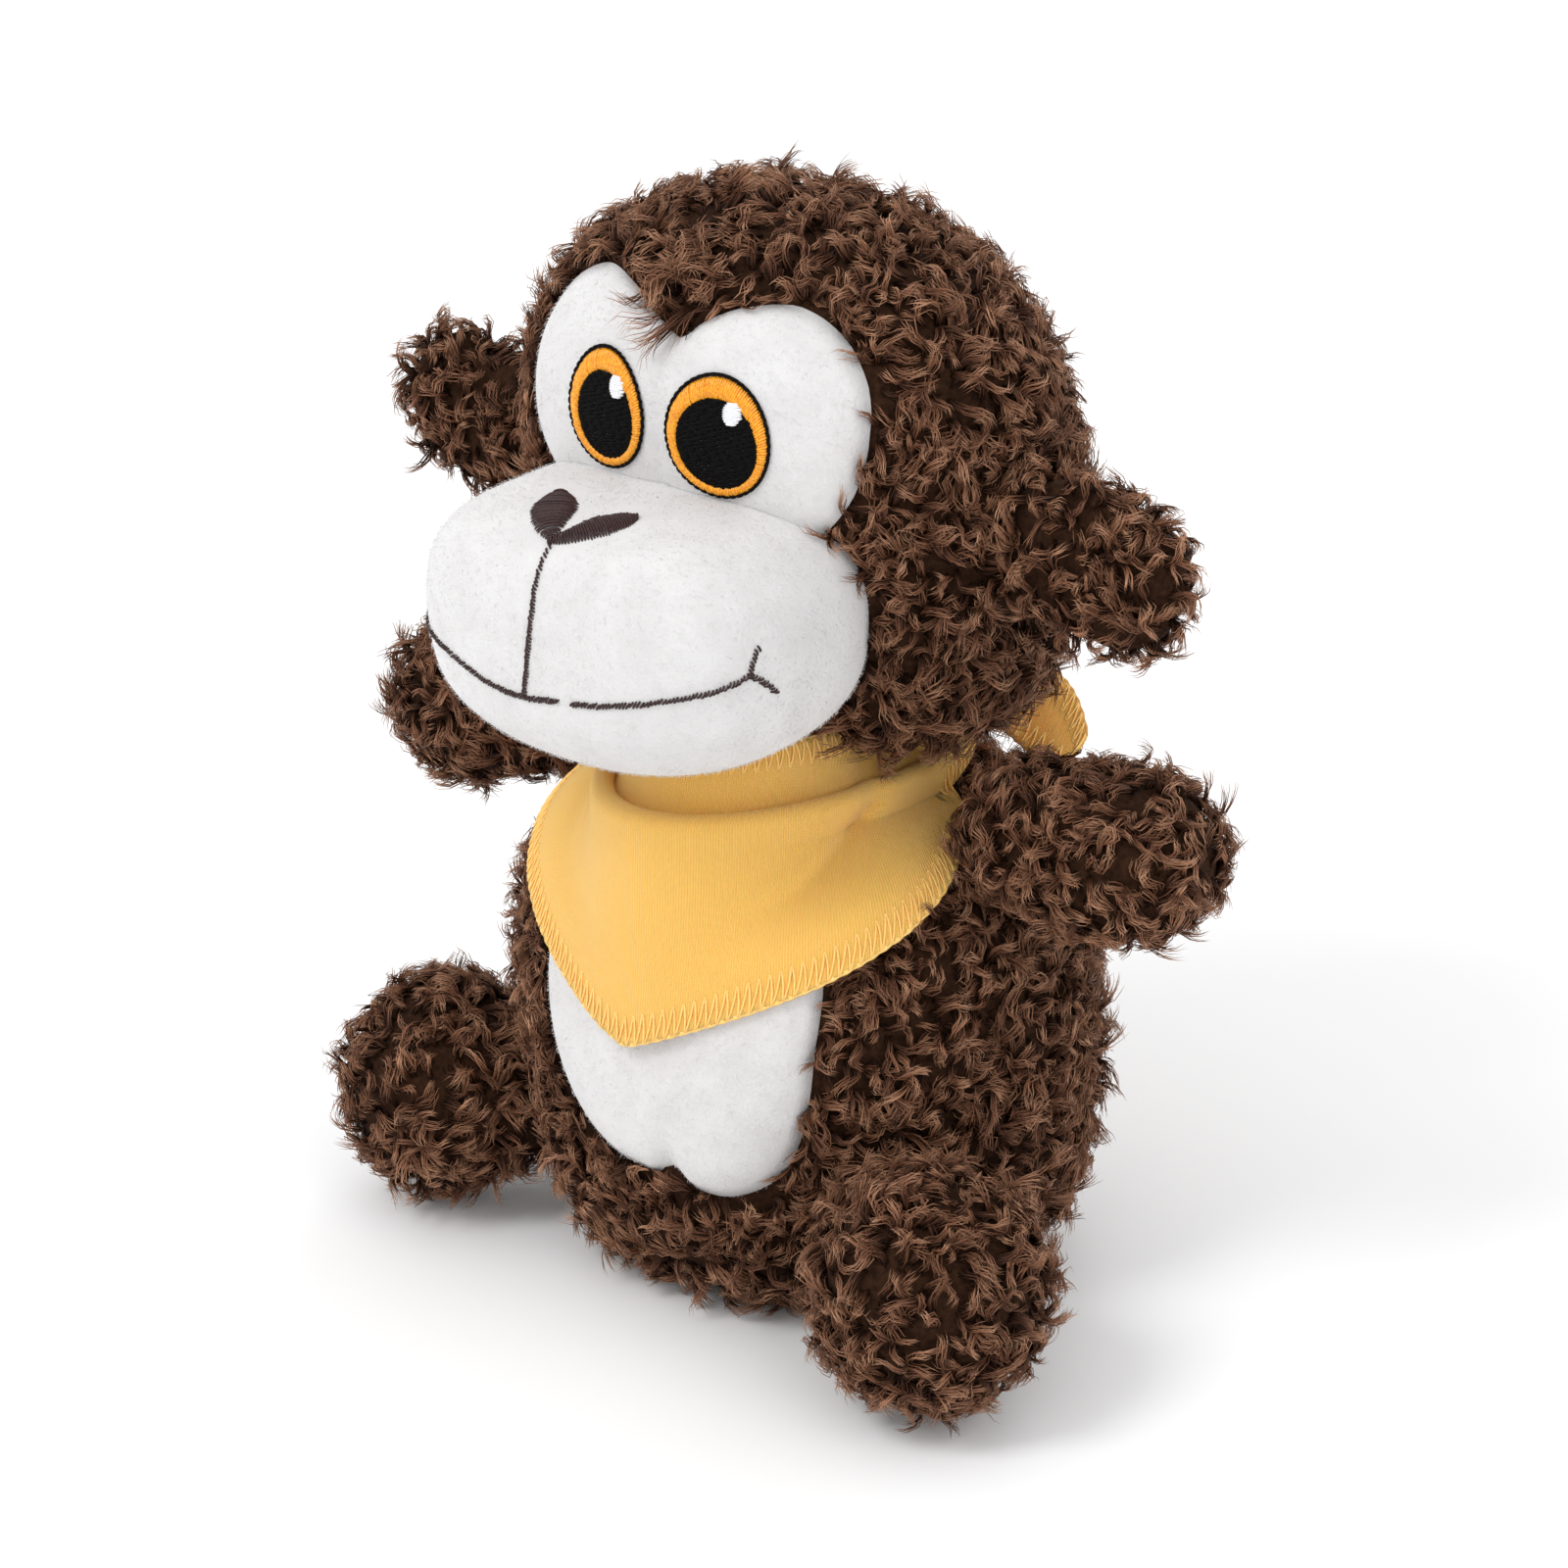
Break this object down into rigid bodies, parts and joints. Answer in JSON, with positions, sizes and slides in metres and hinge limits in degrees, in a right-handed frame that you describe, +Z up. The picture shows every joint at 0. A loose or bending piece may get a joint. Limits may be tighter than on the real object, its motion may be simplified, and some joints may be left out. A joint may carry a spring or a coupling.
{
  "type": "stuffed toy monkey",
  "caption": "Sitting plush monkey with curly brown pile, a white face and belly, embroidered eyes and a yellow bandana; head, ears, arms and legs move on soft seams.",
  "frame": {"origin": "middle of the flat seat, on the surface that the monkey sits on", "axes": "+Z up; the face looks along -Y; the monkey's own left is +X"},
  "size_m": [0.1656, 0.1136, 0.184],
  "materials": {
    "fur": "curly brown pile",
    "white_plush": "short white pile",
    "jersey": "fine yellow jersey knit with serged edges",
    "fibre": "loose polyester fibre",
    "pellet_bag": "woven bag",
    "black_thread": "matt embroidery thread",
    "orange_thread": "glossy embroidery thread",
    "white_thread": "glossy embroidery thread",
    "brown_thread": "glossy embroidery thread"
  },
  "bodies": {
    "torso": {"torso_left_panel": "fur", "torso_right_panel": "fur", "seat_panel": "fur", "belly_panel": "white_plush", "torso_stuffing": "fibre", "pellet_bag": "pellet_bag", "bandana_cloth": "jersey", "bandana_knot": "jersey", "bandana_left_tail": "jersey", "bandana_right_tail": "jersey"},
    "neck": {"neck_stuffing": "fibre"},
    "head": {"head_left_panel": "fur", "head_right_panel": "fur", "face_mask": "white_plush", "muzzle_panel": "white_plush", "head_stuffing": "fibre", "muzzle_stuffing": "fibre", "nose_stitching": "brown_thread", "mouth_stitching": "brown_thread", "lip_line_stitching": "brown_thread", "left_eye_outline": "black_thread", "left_eye_iris": "orange_thread", "left_eye_pupil": "black_thread", "left_eye_highlight": "white_thread", "right_eye_outline": "black_thread", "right_eye_iris": "orange_thread", "right_eye_pupil": "black_thread", "right_eye_highlight": "white_thread"},
    "left_ear": {"left_ear_front_panel": "fur", "left_ear_back_panel": "fur"},
    "left_arm": {"left_arm_front_panel": "fur", "left_arm_back_panel": "fur", "left_arm_stuffing": "fibre"},
    "left_leg": {"left_leg_top_panel": "fur", "left_leg_sole_panel": "fur", "left_leg_stuffing": "fibre"},
    "right_ear": {"right_ear_front_panel": "fur", "right_ear_back_panel": "fur"},
    "right_arm": {"right_arm_front_panel": "fur", "right_arm_back_panel": "fur", "right_arm_stuffing": "fibre"},
    "right_leg": {"right_leg_top_panel": "fur", "right_leg_sole_panel": "fur", "right_leg_stuffing": "fibre"}
  },
  "joints": [
    {"name": "head_turn", "type": "hinge", "parent": "torso", "child": "neck", "pos_m": [0, 0, 0.09], "axis": [0, 0, 1], "range_deg": [-35, 35], "stiffness_Nm_per_rad": 0.3},
    {"name": "head_nod", "type": "hinge", "parent": "neck", "child": "head", "pos_m": [0, 0, 0.09], "axis": [1, 0, 0], "range_deg": [-5, 8], "stiffness_Nm_per_rad": 0.3},
    {"name": "left_arm_raise", "type": "hinge", "parent": "torso", "child": "left_arm", "pos_m": [0.046, -0.003, 0.0855], "axis": [0, -1, 0], "range_deg": [-5, 30], "stiffness_Nm_per_rad": 0.05},
    {"name": "right_arm_raise", "type": "hinge", "parent": "torso", "child": "right_arm", "pos_m": [-0.046, -0.003, 0.0855], "axis": [0, 1, 0], "range_deg": [-5, 30], "stiffness_Nm_per_rad": 0.05},
    {"name": "left_leg_swing", "type": "hinge", "parent": "torso", "child": "left_leg", "pos_m": [0.04368, -0.03102, 0.0213], "axis": [0, 0, 1], "range_deg": [-15, 20], "stiffness_Nm_per_rad": 0.08},
    {"name": "right_leg_swing", "type": "hinge", "parent": "torso", "child": "right_leg", "pos_m": [-0.04701, -0.02547, 0.0213], "axis": [0, 0, -1], "range_deg": [-15, 20], "stiffness_Nm_per_rad": 0.08},
    {"name": "left_ear_flap", "type": "hinge", "parent": "head", "child": "left_ear", "pos_m": [0.05, -0.008, 0.1348], "axis": [0, 0, 1], "range_deg": [-30, 30], "stiffness_Nm_per_rad": 0.02},
    {"name": "right_ear_flap", "type": "hinge", "parent": "head", "child": "right_ear", "pos_m": [-0.05, -0.008, 0.1348], "axis": [0, 0, -1], "range_deg": [-30, 30], "stiffness_Nm_per_rad": 0.02}
  ]
}
